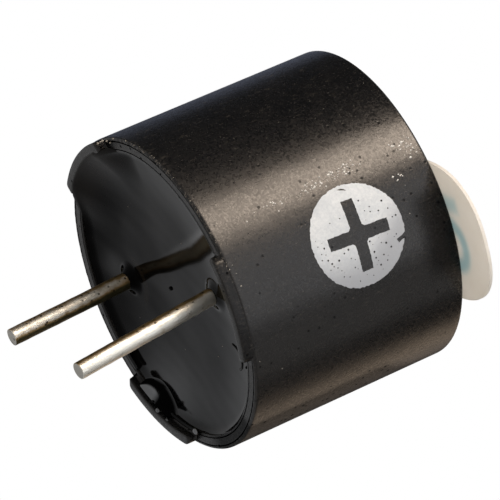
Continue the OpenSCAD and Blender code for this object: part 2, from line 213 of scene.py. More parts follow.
def moulded_case_finish():
    """Injection-moulded black PBT: satin, with mould grain that breaks up its highlights, scuffs and pits."""
    material, tree = new_material("moulded_black_pbt")
    here = (add(tree, "TexCoord"), "Object")
    # The real grain is about 0.03 mm. It is drawn at 0.1 mm, so that it shows.
    grain = add(tree, "TexNoise", {"Vector": here, "Scale": per_mm(0.10), "Detail": 4.0, "Roughness": 0.7})
    peel = add(tree, "TexNoise", {"Vector": here, "Scale": per_mm(0.8), "Detail": 2.0})
    pits = add(tree, "TexVoronoi", {"Vector": here, "Scale": per_mm(0.42)})
    pit = add(tree, "MapRange", {"Value": (pits, "Distance"), "From Min": 0.15, "From Max": 0.09})
    # Fine glass filler at the skin, really 0.01 mm, drawn at 0.07 mm: each grain glints on its own.
    filler = add(tree, "TexVoronoi", {"Vector": here, "Scale": per_mm(0.07)})
    glint = add(tree, "SeparateColor", {"Color": (filler, "Color")})

    # The upper side came out of the mould smoother than the foot, so its highlight is narrower.
    height = add(tree, "SeparateXYZ", {"Vector": here})
    heights = {"Value": (height, "Z"), "From Max": CASE_H * MM, "To Min": 0.05, "To Max": -0.03}
    smoother = add(tree, "MapRange", heights)
    coarse = {"Value": (grain, "Fac"), "From Min": 0.3, "From Max": 0.7, "To Min": 0.15, "To Max": 0.31}
    rough_grain = add(tree, "MapRange", coarse)
    filled = {0: (glint, "Red"), 1: 0.10, 2: (rough_grain, "Result")}
    rough_filled = add(tree, "Math", filled, operation="MULTIPLY_ADD")
    rough_side = add(tree, "Math", {0: (rough_filled, "Value"), 1: (smoother, "Result")}, operation="ADD")
    # The roof was spark-eroded matt, so that the label holds.
    eroded = add(tree, "Attribute", attribute_name="eroded")
    matt = add(tree, "Math", {0: (eroded, "Fac"), 1: 0.85}, operation="MULTIPLY")
    rough = add(tree, "Math", {0: (rough_side, "Value"), 1: (matt, "Value")}, operation="MAXIMUM")
    # The gloss mask carries painted shade low on one side and on the rim and feet.
    gloss_and_painted_light = add(tree, "Attribute", attribute_name="gloss_and_painted_light")
    gloss = add(tree, "Math", {0: (gloss_and_painted_light, "Fac"), 1: 0.5}, operation="MULTIPLY")
    dull_pits = {0: (pit, "Result"), 1: -0.35, 2: (gloss, "Value")}
    gloss_pitted = add(tree, "Math", dull_pits, operation="MULTIPLY_ADD")

    # Two near blacks in blotches, grey scuffs across them, and a pale chafed rim.
    cloud = add(tree, "TexNoise", {"Vector": here, "Scale": per_mm(1.4), "Detail": 5.0, "Roughness": 0.6})
    blotch = add(tree, "MapRange", {"Value": (cloud, "Fac"), "From Min": 0.4, "From Max": 0.65})
    blacks = {"Factor": (blotch, "Result"), FIRST: srgb("#0a0b0d"), SECOND: srgb("#111112")}
    black = add(tree, "Mix", blacks, data_type="RGBA")
    drawn_out = {"Vector": here, "Rotation": (0.4, 0.9, 0.3), "Scale": (1.0, 9.0, 1.0)}
    along = add(tree, "Mapping", drawn_out)
    lines = {"Vector": (along, "Vector"), "Scale": per_mm(0.5), "Detail": 4.0, "Roughness": 0.7}
    scratches = add(tree, "TexNoise", lines)
    scratch = add(tree, "MapRange", {"Value": (scratches, "Fac"), "From Min": 0.60, "From Max": 0.68})
    scuffs = {"Factor": (scratch, "Result"), FIRST: (black, MIXED), SECOND: srgb("#2b2926")}
    scuffed = add(tree, "Mix", scuffs, data_type="RGBA")
    chafe = add(tree, "TexNoise", {"Vector": here, "Scale": per_mm(0.11), "Detail": 3.0, "Roughness": 0.7})
    chafe_cut = add(tree, "MapRange", {"Value": (chafe, "Fac"), "From Min": 0.54, "From Max": 0.66})
    wear = add(tree, "Attribute", attribute_name="rim_wear")
    chafed = add(tree, "Math", {0: (wear, "Fac"), 1: (chafe_cut, "Result")}, operation="MULTIPLY")
    pale_rim = {"Factor": (chafed, "Value"), FIRST: (scuffed, MIXED), SECOND: srgb("#77716a")}
    colour = add(tree, "Mix", pale_rim, data_type="RGBA")

    # Relief in millimetres: filler, grain and peel stand out, and pits go in.
    filler_relief = add(tree, "Math", {0: (glint, "Green"), 1: 0.004}, operation="MULTIPLY")
    grain_relief = {0: (grain, "Fac"), 1: 0.006, 2: (filler_relief, "Value")}
    grained = add(tree, "Math", grain_relief, operation="MULTIPLY_ADD")
    peel_relief = {0: (peel, "Fac"), 1: 0.014, 2: (grained, "Value")}
    peeled = add(tree, "Math", peel_relief, operation="MULTIPLY_ADD")
    pit_relief = {0: (pit, "Result"), 1: -0.006, 2: (peeled, "Value")}
    relief = add(tree, "Math", pit_relief, operation="MULTIPLY_ADD")
    bump = add(tree, "Bump", {"Height": (relief, "Value"), "Distance": MM, "Strength": 0.8})
    shading = {
        "Base Color": (colour, MIXED),
        "Roughness": (rough, "Value"),
        "IOR": 1.52,
        "Specular IOR Level": (gloss_pitted, "Value"),
        "Specular Tint": srgb("#fff7ef"),
        "Normal": (bump, "Normal"),
    }
    plastic = add(tree, "BsdfPrincipled", shading)
    add(tree, "OutputMaterial", {"Surface": (plastic, "BSDF")})
    return material


def resin_finish():
    """Cast black epoxy, poured and self-levelled: glossy, with slow waves and a little dust. How strongly it
    reflects is painted in, place by place.
    """
    material, tree = new_material("cast_black_epoxy")
    here = (add(tree, "TexCoord"), "Object")
    waves = add(tree, "TexNoise", {"Vector": here, "Scale": per_mm(2.6), "Detail": 2.0})
    stain = add(tree, "TexNoise", {"Vector": here, "Scale": per_mm(2.8), "Detail": 3.0})
    stains = {"Factor": (stain, "Fac"), FIRST: srgb("#0a0b0e"), SECOND: srgb("#100f0e")}
    black = add(tree, "Mix", stains, data_type="RGBA")
    lighter_colour = add(tree, "Attribute", attribute_name="lighter_colour")
    lighter_colours = {"Factor": (lighter_colour, "Fac"), FIRST: (black, MIXED), SECOND: srgb("#332e2a")}
    lightened = add(tree, "Mix", lighter_colours, data_type="RGBA")
    dust = add(tree, "TexVoronoi", {"Vector": here, "Scale": per_mm(1.1)})
    dust_core = add(tree, "MapRange", {"Value": (dust, "Distance"), "From Min": 0.035, "From Max": 0.02})
    flecks = {"Factor": (dust_core, "Result"), FIRST: (lightened, MIXED), SECOND: srgb("#5f5c58")}
    colour = add(tree, "Mix", flecks, data_type="RGBA")
    rough = add(tree, "MapRange", {"Value": (stain, "Fac"), "To Min": 0.06, "To Max": 0.13})
    # Painted reflection: the mask sets how strongly each place reflects, above full gloss in places.
    skin = add(tree, "Attribute", attribute_name="gloss_and_painted_light")
    gloss = add(tree, "Math", {0: (skin, "Fac"), 1: 0.5}, operation="MULTIPLY")
    bump = add(tree, "Bump", {"Height": (waves, "Fac"), "Distance": 0.03 * MM, "Strength": 0.6})
    shading = {
        "Base Color": (colour, MIXED),
        "Roughness": (rough, "Result"),
        "IOR": 1.55,
        "Specular IOR Level": (gloss, "Value"),
        "Normal": (bump, "Normal"),
    }
    resin = add(tree, "BsdfPrincipled", shading)
    add(tree, "OutputMaterial", {"Surface": (resin, "BSDF")})
    return material


def tinned_wire_finish():
    """Hot-dipped tin over drawn wire: a soft, dull-bright metal with draw lines, tarnish and small pits."""
    material, tree = new_material("hot_dipped_tin")
    here = (add(tree, "TexCoord"), "Object")
    # Draw lines are really under 0.01 mm apart. They are drawn 0.07 mm apart, so that they show.
    stretched = add(tree, "Mapping", {"Vector": here, "Scale": (1.0, 1.0, 0.18)})
    lines = {"Vector": (stretched, "Vector"), "Scale": per_mm(0.07), "Detail": 4.0, "Roughness": 0.7}
    draw_lines = add(tree, "TexNoise", lines)
    # Tarnish comes in clouds. A light one is brown, a heavy one olive. The mask also carries painted shade,
    # which turns one lead's lower side olive.
    bloom = add(tree, "TexNoise", {"Vector": here, "Scale": per_mm(0.4), "Detail": 5.0, "Roughness": 0.7})
    dulled = add(tree, "Attribute", attribute_name="tarnish_and_painted_shade")
    clouds = add(tree, "Math", {0: (bloom, "Fac"), 1: (dulled, "Fac")}, operation="ADD")
    light = add(tree, "MapRange", {"Value": (clouds, "Value"), "From Min": 0.60, "From Max": 1.05})
    heavy = add(tree, "MapRange", {"Value": (clouds, "Value"), "From Min": 1.0, "From Max": 1.45})
    browns = {"Factor": (light, "Result"), FIRST: srgb("#e9e4d8"), SECOND: srgb("#a98b5e")}
    browned = add(tree, "Mix", browns, data_type="RGBA")
    olives = {"Factor": (heavy, "Result"), FIRST: (browned, MIXED), SECOND: srgb("#4b4630")}
    tarnished = add(tree, "Mix", olives, data_type="RGBA")
    cut_end = add(tree, "Attribute", attribute_name="cut_end")
    ends = {"Factor": (cut_end, "Fac"), FIRST: (tarnished, MIXED), SECOND: srgb("#aca89f")}
    metal = add(tree, "Mix", ends, data_type="RGBA")
    # Pits lie where the tarnish is.
    pits = add(tree, "TexVoronoi", {"Vector": here, "Scale": per_mm(0.2)})
    pit_core = add(tree, "MapRange", {"Value": (pits, "Distance"), "From Min": 0.3, "From Max": 0.15})
    few = add(tree, "MapRange", {"Value": (clouds, "Value"), "From Min": 0.55, "From Max": 0.85})
    pit = add(tree, "Math", {0: (pit_core, "Result"), 1: (few, "Result")}, operation="MULTIPLY")
    pitted = {"Factor": (pit, "Value"), FIRST: (metal, MIXED), SECOND: srgb("#40352a")}
    colour = add(tree, "Mix", pitted, data_type="RGBA")
    spread = {"Value": (draw_lines, "Fac"), "From Min": 0.3, "From Max": 0.7, "To Min": 0.38, "To Max": 0.56}
    rough = add(tree, "MapRange", spread)
    relief = add(tree, "Math", {0: (draw_lines, "Fac"), 1: (pit, "Value")}, operation="SUBTRACT")
    bump = add(tree, "Bump", {"Height": (relief, "Value"), "Distance": 0.01 * MM, "Strength": 0.8})
    shading = {
        "Base Color": (colour, MIXED),
        "Metallic": 1.0,
        "Roughness": (rough, "Result"),
        "Normal": (bump, "Normal"),
    }
    wire = add(tree, "BsdfPrincipled", shading)
    add(tree, "OutputMaterial", {"Surface": (wire, "BSDF")})
    return material


def label_finish():
    """Die-cut white PET film: smooth and a little see-through, so that its print shows faintly from below."""
    material, tree = new_material("white_pet_film")
    here = (add(tree, "TexCoord"), "Object")
    mottle = add(tree, "TexNoise", {"Vector": here, "Scale": per_mm(0.8), "Detail": 3.0})
    whites = {"Factor": (mottle, "Fac"), FIRST: srgb("#f9f6f1"), SECOND: srgb("#efeae2")}
    white = add(tree, "Mix", whites, data_type="RGBA")
    print_mask = add(tree, "Attribute", attribute_name="print_tone")
    prints = {"Factor": (print_mask, "Fac"), FIRST: (white, MIXED), SECOND: srgb("#86c0cc")}
    colour = add(tree, "Mix", prints, data_type="RGBA")
    bump = add(tree, "Bump", {"Height": (mottle, "Fac"), "Distance": 0.01 * MM, "Strength": 0.5})
    shading = {
        "Base Color": (colour, MIXED),
        "Roughness": 0.62,
        "Specular IOR Level": 0.15,
        "Normal": (bump, "Normal"),
    }
    surface = add(tree, "BsdfPrincipled", shading)
    through = add(tree, "BsdfTranslucent", {"Color": (colour, MIXED)})
    both = add(tree, "MixShader", {0: 0.45, 1: (surface, "BSDF"), 2: (through, "BSDF")})
    add(tree, "OutputMaterial", {"Surface": (both, "Shader")})
    return material


def ink_finish():
    """White pad-printed ink: matt, slightly uneven, with painted shade that greys it towards one side."""
    material, tree = new_material("white_pad_print_ink")
    here = (add(tree, "TexCoord"), "Object")
    thin = add(tree, "TexNoise", {"Vector": here, "Scale": per_mm(0.12), "Detail": 3.0, "Roughness": 0.7})
    broad = add(tree, "TexNoise", {"Vector": here, "Scale": per_mm(1.2), "Detail": 2.0})
    both = add(tree, "Math", {0: (thin, "Fac"), 1: (broad, "Fac")}, operation="MULTIPLY")
    cover = add(tree, "MapRange", {"Value": (both, "Value"), "From Min": 0.15, "From Max": 0.4})
    whites = {"Factor": (cover, "Result"), FIRST: srgb("#bcc1c6"), SECOND: srgb("#d4d7d9")}
    white = add(tree, "Mix", whites, data_type="RGBA")
    # Painted shade: the ink greys towards one side of the disc.
    ink_painted_shade = add(tree, "Attribute", attribute_name="ink_painted_shade")
    greys = {"Factor": (ink_painted_shade, "Fac"), FIRST: (white, MIXED), SECOND: srgb("#a3a6ab")}
    colour = add(tree, "Mix", greys, data_type="RGBA")
    bump = add(tree, "Bump", {"Height": (thin, "Fac"), "Distance": 0.008 * MM, "Strength": 0.6})
    shading = {"Base Color": (colour, MIXED), "Roughness": 0.55, "Normal": (bump, "Normal")}
    layer = add(tree, "BsdfPrincipled", shading)
    add(tree, "OutputMaterial", {"Surface": (layer, "BSDF")})
    return material


def grained_finish(name, dark, light, grain_size, metallic, roughness, relief):
    """A two-tone grain of one size, for crumbs and for the pieces inside the case."""
    material, tree = new_material(name)
    here = (add(tree, "TexCoord"), "Object")
    grain = add(tree, "TexNoise", {"Vector": here, "Scale": per_mm(grain_size), "Detail": 4.0})
    tones = {"Factor": (grain, "Fac"), FIRST: srgb(dark), SECOND: srgb(light)}
    colour = add(tree, "Mix", tones, data_type="RGBA")
    spread = {"Value": (grain, "Fac"), "To Min": roughness - 0.08, "To Max": roughness + 0.08}
    rough = add(tree, "MapRange", spread)
    bump = add(tree, "Bump", {"Height": (grain, "Fac"), "Distance": relief * MM, "Strength": 0.6})
    shading = {
        "Base Color": (colour, MIXED),
        "Metallic": metallic,
        "Roughness": (rough, "Result"),
        "Normal": (bump, "Normal"),
    }
    surface = add(tree, "BsdfPrincipled", shading)
    add(tree, "OutputMaterial", {"Surface": (surface, "BSDF")})
    return material


case_plastic = moulded_case_finish()
epoxy = resin_finish()
tin = tinned_wire_finish()
film = label_finish()
ink = ink_finish()
# Room dust that settled: pale, dry and matt.
dust_fluff = grained_finish("settled_dust", "#8f8a82", "#b9b4aa", 0.05, 0.0, 0.9, 0.01)
# Glass filler grains, painted near white so that they show as glints in the highlight.
glint_painted_filler = grained_finish("filler_grains_painted_glints", "#eae5da", "#ffffff", 0.04, 0.0, 0.3, 0.01)
# Glass filler that chafing bared: duller and yellower.
bared_filler = grained_finish("glass_filler_grains", "#b5ab99", "#dcd6ca", 0.04, 0.0, 0.45, 0.01)
# Plastic that scorched in the mould: matt black.
scorched_plastic = grained_finish("scorched_specks", "#0b0a09", "#1c1916", 0.04, 0.0, 0.9, 0.01)

# Finish of each hidden slot: (name, dark tone, light tone, grain size, metallic, roughness, relief).
# Where the real grain is too fine to show, it is drawn at the size given.
INNER_FINISHES = {
    # Rolled smooth: an even, slightly soft mirror.
    "diaphragm_steel": ("cold_rolled_steel", "#a9acb0", "#c3c5c8", 0.15, 1.0, 0.32, 0.002),
    # Barrel-plated nickel: warm, bright and a little cloudy.
    "plated_iron": ("nickel_plated_iron", "#a3a39f", "#bbb9b2", 0.2, 1.0, 0.3, 0.003),
    # Moulded satin black.
    "ring_plastic": ("moulded_black_abs", "#1c1c1e", "#29292b", 0.1, 0.0, 0.45, 0.004),
    # Pressed and sintered: a matt dark grey ceramic with visible grit.
    "ferrite": ("sintered_ferrite", "#2c2c2e", "#414143", 0.06, 0.0, 0.6, 0.008),
    # Moulded undyed: a milky yellow.
    "bobbin_nylon": ("natural_nylon", "#d9d0b4", "#e8e1ca", 0.4, 0.0, 0.5, 0.004),
    # Wound wire under clear enamel: red-brown and glossy.
    "enamelled_copper": ("enamelled_copper_wire", "#a2552a", "#c47a45", 0.09, 1.0, 0.3, 0.02),
    # Cast film: amber and glossy.
    "insulating_film": ("polyimide_film", "#c08a2a", "#d39f3f", 0.8, 0.0, 0.25, 0.001),
    # Pressed laminate under green mask: the glass weave shows faintly.
    "board_laminate": ("glass_epoxy_laminate", "#1f5234", "#2c6b45", 0.25, 0.0, 0.45, 0.004),
    # Etched foil: pink-brown with a fine tooth.
    "land_copper": ("etched_copper_foil", "#b9733f", "#cd8c57", 0.12, 1.0, 0.35, 0.003),
    # Transfer-moulded: a matt charcoal.
    "transistor_moulding": ("transfer_moulded_epoxy", "#18181a", "#242427", 0.05, 0.0, 0.6, 0.006),
    # Bright plating: nearly white metal.
    "tinned_legs": ("bright_tin_plate", "#c5c7c9", "#dcdddd", 0.1, 1.0, 0.28, 0.003),
    # Fired: a chalky white.
    "resistor_ceramic": ("fired_alumina", "#dcdcd8", "#ebebe8", 0.05, 0.0, 0.6, 0.004),
    # Flowed and set: bright, with a soft frost.
    "solder": ("flowed_solder", "#b9bbbf", "#d0d2d4", 0.3, 1.0, 0.25, 0.006),
}


def finish_hidden_nodes():
    """Gives each CAD node inside the case the finish of its slot."""
    finishes = {slot: grained_finish(*values) for slot, values in INNER_FINISHES.items()}
    slot_of = {s["node"]: s["material_slot"] for s in frame["record"]["subparts"]}
    for node_name, node in frame["nodes"].items():
        finish = finishes.get(slot_of[node_name])
        if finish:
            node.data.materials.clear()
            node.data.materials.append(finish)


finish_hidden_nodes()

# ---------------------------------------------------------------- case


def foot_column(angle):
    """(nearest foot's angle, angle from it, distance inside the foot's end) for a column of the case."""
    foot = min(FOOT_ANGLES, key=lambda f: abs((angle - f + 180) % 360 - 180))
    away = (angle - foot + 180) % 360 - 180
    inside = FOOT_HALF_W - abs(FOOT_MID_R * math.sin(math.radians(away)))
    return foot, away, inside


def foot_drop(inside):
    """How far the foot's face lies below the low rim, at this distance inside the foot's end."""
    if inside < 0:
        return 0.0
    if inside >= FOOT_CORNER_R:
        return FOOT_H
    short = FOOT_CORNER_R - inside
    return FOOT_H - FOOT_CORNER_R + math.sqrt(FOOT_CORNER_R**2 - short**2)


def foot_end_cut(inside):
    """How far a foot's upright corner is rounded back, at this distance inside the foot's end."""
    short = max(0.0, FOOT_END_R - max(0.0, inside))
    return FOOT_END_R - math.sqrt(FOOT_END_R**2 - short**2)


def case_columns():
    """Angles of the case's columns: even, and close together at the ends of each foot."""
    ends = (-0.004, 0.0, 0.004, 0.012, 0.025, 0.045, 0.07, 0.1, 0.15)
    end_angles = [math.degrees(math.asin((FOOT_HALF_W - e) / FOOT_MID_R)) for e in ends]
    angles = []
    step = 0.5
    for i in range(int(360 / step)):
        away = foot_column(i * step)[1]
        if not min(end_angles) - 0.2 < abs(away) < max(end_angles) + 0.2:
            angles.append(i * step)
    for foot in FOOT_ANGLES:
        angles += [(foot + side * a) % 360 for a in end_angles for side in (-1, 1)]
    return sorted(angles)


def side_r(z):
    """Radius of the drafted side at this height."""
    return CASE_R - (CASE_R - CASE_TOP_R) * z / CASE_H


def rim_roughness(angle):
    """How chafed the low rim is at this angle, from 0 to 1."""
    a = (angle + 180) % 360 - 180
    return 0.25 + 0.75 * smoothstep(-95, -80, a) * (1 - smoothstep(-18, -8, a))


def side_gloss_and_painted_shade(angle, z):
    """How much gloss the side keeps: less near the roof on part of its round. Low on one side, and on the rim
    and feet, the loss is painted shade.
    """
    a = (angle + 180) % 360 - 180
    near_roof = smoothstep(7.6, 8.4, z) * smoothstep(-15, -8, a) * (1 - smoothstep(14, 24, a))
    # Painted shade: low on one side the reflection is dimmed where a shadow fell, with a slanting edge.
    low_side = smoothstep(49, 54, a) * (1 - smoothstep(80, 95, a))
    low_side *= 1 - smoothstep(5.8, 6.8, z - 0.12 * (a - 52))
    gloss = 1 - 0.65 * near_roof - 0.87 * low_side
    # Painted shade: the rim and feet keep only half their gloss.
    return gloss * (0.5 + 0.5 * smoothstep(FOOT_H + 0.02, FOOT_H + 0.12, z))


def roof_points():
    """Up the sound hole, over its chamfer, across the roof and round its edge."""
    soft = 0.02
    mouth = CASE_H - HOLE_CHAMFER
    points = [(HOLE_R, ROOF_Z, 0), (HOLE_R, mouth - soft, 0), (HOLE_R + soft / 2, mouth + soft, 0)]
    points += [(HOLE_R + HOLE_CHAMFER - soft, CASE_H - soft, 0), (HOLE_R + HOLE_CHAMFER + soft, CASE_H, 0)]
    points += [(r, CASE_H, 0) for r in (1.8, 2.8, 3.8, 4.8, 5.4)]
    r, z = CASE_TOP_R - EDGE_R, CASE_H - EDGE_R
    turns = [math.radians(15 * i) for i in range(7)]
    return points + [(r + EDGE_R * math.sin(t), z + EDGE_R * math.cos(t), 0) for t in turns]


def side_points():
    """Down the drafted side, with some wear just above the low rim."""
    points = [(side_r(z), z, 0) for z in np.linspace(CASE_H - 0.3, 0.9, 34)]
    return points + [(side_r(0.6), 0.6, 0.05), (side_r(0.5), 0.5, 0.2)]


def low_edge_points(drop, least_r, nick):
    """Round the side's low edge. Between the feet it is nicked, and a foot's outer side cuts it short."""
    points = []
    for i, worn in enumerate((0.3, 0.5, 0.8, 1.0, 0.8, 0.4), 1):
        t = math.radians(15 * i)
        r = side_r(FOOT_H) - EDGE_R + EDGE_R * math.cos(t)
        z = FOOT_H + EDGE_R - EDGE_R * math.sin(t)
        points.append((max(r, least_r), z + (0 if drop else nick * i / 6), worn))
    return points


def foot_points(drop, outer, inner):
    """Down a foot's outer side, across its face and up its inner side. Between the feet it is flat."""
    face_z = FOOT_H - drop
    e = min(0.04, drop)
    points = [(outer, FOOT_H - drop * 0.5, 0.2), (outer, face_z + e, 0.3)]
    points += [(outer - 0.3 * e, face_z + 0.3 * e, 0.4), (outer - e, face_z, 0.3)]
    points += [(5.78, face_z, 0.1), (5.7, face_z, 0.05)]
    points += [(inner + e, face_z, 0.1), (inner + 0.3 * e, face_z + 0.3 * e, 0.1)]
    return points + [(inner, face_z + e, 0.1), (inner, FOOT_H - drop * 0.4, 0), (inner, FOOT_H, 0)]


def inner_points():
    """Over the rim's inner edge, up the skirt, across the shoulder, and round the chamber to the roof."""
    points = [(SKIRT_R + 0.03, FOOT_H, 0), (SKIRT_R + 0.008, FOOT_H + 0.01, 0), (SKIRT_R, FOOT_H + 0.04, 0)]
    points += [(SKIRT_R, z, 0) for z in (0.8, 3.8, LIP_Z)]
    points += [(CHAMBER_R, LIP_Z, 0)]
    r, z = CHAMBER_R - CHAMBER_FILLET, ROOF_Z - CHAMBER_FILLET
    for i in range(5):
        t = math.radians(22.5 * i)
        points.append((r + CHAMBER_FILLET * math.cos(t), z + CHAMBER_FILLET * math.sin(t), 0))
    return points + [(3.0, ROOF_Z, 0)]


def case_section(angle):
    """Points (radius, height, wear) of the case's closed section at this angle, from the hole outwards."""
    inside = foot_column(angle)[2]
    drop = foot_drop(inside)
    cut = foot_end_cut(inside) if drop else 0.0
    outer = FOOT_OUTER_R - cut if drop else side_r(FOOT_H) - EDGE_R - 0.02
    inner = FOOT_INNER_R + 0.6 * cut
    a = math.radians(angle)
    ragged = noise.fractal(Vector((6 * math.cos(a), 6 * math.sin(a), 0.5)) * 7.0, 0.6, 2.2, 4)
    nick = rim_roughness(angle) * 0.030 * ragged
    points = roof_points() + side_points() + low_edge_points(drop, outer if drop else 0, nick)
    return points + foot_points(drop, outer, inner) + inner_points()


def build_case():
    vertices, wear, gloss_and_painted_light, eroded = [], [], [], []
    angles = case_columns()
    for angle in angles:
        foot, away, _ = foot_column(angle)
        section = case_section(angle)
        # Near a foot its columns stand parallel, so that its ends are flat. Further off they fan out.
        straight = 1 - smoothstep(24, 40, abs(away))
        for r, z, worn in section:
            a = away
            if r > 5.0 and z < 1.0:
                parallel = math.degrees(math.asin(math.sin(math.radians(away)) * FOOT_MID_R / r))
                a += straight * (parallel - away)
            t = math.radians(foot + a)
            vertices.append((r * math.cos(t), r * math.sin(t), z))
            wear.append(worn * rim_roughness(angle))
            roof = z > CASE_H - 0.03 and r < CASE_TOP_R - 0.05
            eroded.append(1.0 if roof else 0.0)
            gloss_and_painted_light.append(0.12 if roof else side_gloss_and_painted_shade(angle, z) if r > SKIRT_R + 0.02 else 0.5)
    outward = [f[::-1] for f in round_faces(len(angles), len(section), closed=True)]
    piece = mesh_piece("moulded_case", vertices, outward)
    put_mask(piece, "rim_wear", wear)
    put_mask(piece, "eroded", eroded)
    put_mask(piece, "gloss_and_painted_light", gloss_and_painted_light)
    piece.data.materials.append(case_plastic)
    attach(piece, "root")
    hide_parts("case")


build_case()

# ---------------------------------------------------------------- resin

# Where the resin's reflection is painted stronger: (how much, middle, reach each way)
PAINTED_REFLECTION_PLACES = (
    (0.70, (-3.1, 4.5), (1.9, 1.5)),
    (0.22, (-4.2, -0.5), (0.6, 0.5)),
    (0.35, (4.6, -0.8), (0.9, 1.6)),
    (0.05, (-1.5, -4.6), (2.0, 0.9)),
)
LUMP_ANGLE = 127.5
LUMP_R = 5.0
LUMP_COLUMNS = (112, 148)


def lead_distance(x, y):
    """Distance outside the nearer lead's surface."""
    return min(math.hypot(x - side * LEAD_X, y - LEAD_Y) for side in (-1, 1)) - LEAD_R


def hill(x, y, centre, width):
    """A smooth bump of height 1 around a place."""
    return math.exp(-(((x - centre[0]) / width[0]) ** 2) - ((y - centre[1]) / width[1]) ** 2)


def rise(r, edge, width, power):
    """From 0 to 1 over the last width before the edge."""
    return min(1.0, max(0.0, (r - edge + width) / width)) ** power


def over_foot(angle):
    """From 0 to 1 where the resin ran up over one foot."""
    return smoothstep(202, 226, angle) * (1 - smoothstep(254, 274, angle))


def lump(x, y):
    """From 0 on the open resin to 1 on the lump that set against one foot."""
    away = angle_of(x, y) - LUMP_ANGLE
    edge = LUMP_R + (0.0062 if away > 0 else 0.003) * away**2 + 0.03 * ripple(x, y, 9.0, 0.5)
    return smoothstep(edge - 0.10, edge + 0.14, math.hypot(x, y))


def resin_height(x, y):
    """Height of the resin's open surface at x, y. It climbs towards the foot side, so its height falls."""
    r = math.hypot(x, y)
    over = over_foot(angle_of(x, y))
    z = RESIN_Z
    z -= SLOW_CLIMB * rise(r, SKIRT_R, 2.4, 2)
    z -= (WALL_CLIMB - SLOW_CLIMB) * (1 - over) * rise(r, SKIRT_R, 0.4, 3)
    z -= 0.60 * over * rise(r, FOOT_INNER_R, 2.2, 2)
    z += 0.08 * over * smoothstep(FOOT_INNER_R + 0.07, FOOT_INNER_R + 0.13, r)
    z -= 0.34 * lump(x, y)
    near_lead = max(0.0, 1 - max(0.0, lead_distance(x, y)) / LEAD_CLIMB_W)
    z -= (NEGATIVE_CLIMB if x < 0 else POSITIVE_CLIMB) * near_lead**2
    # A slow wave in the skin between the leads.
    z += 0.075 * (y + 0.3) * hill(x, y, (-1.5, -0.3), (1.3, 0.9))
    z += 0.02 * ripple(x, y, 3.0, 2.2)
    return z


def resin_painted_reflection(x, y):
    """Painted reflection strength of the resin: weak at the negative lead's side, stronger at the other and
    in a few places.
    """
    skin = 0.045 + 0.115 * smoothstep(-3.0, 2.5, x) + 0.07 * smoothstep(2.5, 4.5, y)
    skin += sum(more * hill(x, y, middle, reach) for more, middle, reach in PAINTED_REFLECTION_PLACES)
    skin *= 1 + 0.22 * ripple(0.6 * x + 0.2 * y, 1.9 * y - 1.3 * x, 5.0, 1.0)
    # A painted reflection of the negative lead: a bright streak from it towards the positive one, and painted
    # shade beside its root.
    off_line = y + 0.60 + 0.36 * (x + 1.5)
    streak = smoothstep(-1.6, 3.6, x) * (1 - smoothstep(4.2, 4.6, x)) * math.exp(-((off_line / 0.16) ** 2))
    skin += 0.45 * streak
    skin *= 1 - 0.97 * hill(x, y, (-2.86, -0.16), (0.30, 0.34))
    # The lump's flank is painted dark, with its reflection taken away. Its top at one end gets a painted
    # highlight, three times full gloss.
    k = lump(x, y)
    top = smoothstep(0.85, 1.0, k) * smoothstep(124, 128, angle_of(x, y))
    return skin * (1 - smoothstep(0.0, 0.2, k)) + 3.0 * top


def resin_lighter_colour(x, y):
    """Where the resin's colour is lighter: in a ring beside the negative lead and faintly over one foot."""
    from_lead = math.hypot(x + LEAD_X, y - LEAD_Y)
    ring = smoothstep(0.78, 0.92, from_lead) * (1 - smoothstep(1.02, 1.22, from_lead))
    ring *= smoothstep(-2.9, -2.5, x)
    return 0.4 * ring + 0.35 * over_foot(angle_of(x, y)) * smoothstep(4.2, 5.2, math.hypot(x, y))


def build_resin():
    first, last = LUMP_COLUMNS
    turns = [a for a in np.arange(0, 360, 0.75) if not first < a < last]
    turns = sorted(turns + list(np.arange(first, last + 0.1, 0.15)))
    radii = list(np.linspace(0.0, 2.3, 24)) + list(np.linspace(2.34, 4.2, 56))
    radii += list(np.linspace(4.23, SKIRT_R + 0.03, 50))
    vertices = []
    for turn in turns:
        t = math.radians(turn)
        over_step = 0.22 * over_foot(math.degrees(t))
        for r in radii[1:]:
            r += over_step * smoothstep(5.0, SKIRT_R, r)
            x, y = r * math.cos(t), r * math.sin(t)
            vertices.append((x, y, resin_height(x, y)))
        vertices.append((radii[-1] * math.cos(t), radii[-1] * math.sin(t), RESIN_TOP_Z))
    columns, rows = len(turns), len(radii)
    faces = round_faces(columns, rows)
    middle = len(vertices)
    vertices += [(0, 0, resin_height(0, 0)), (0, 0, RESIN_TOP_Z)]
    for c in range(columns):
        d = (c + 1) % columns
        faces.append((middle, d * rows, c * rows))
        faces.append((middle + 1, c * rows + rows - 1, d * rows + rows - 1))
    piece = mesh_piece("cast_resin", vertices, faces)
    put_mask(piece, "gloss_and_painted_light", [resin_painted_reflection(x, y) for x, y, z in vertices])
    put_mask(piece, "lighter_colour", [resin_lighter_colour(x, y) for x, y, z in vertices])
    piece.data.materials.append(epoxy)
    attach(piece, "root")
    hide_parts("potting_resin")


build_resin()

# ---------------------------------------------------------------- leads

TARNISH_SIDE = Vector((-0.35, -0.94, 0.0))


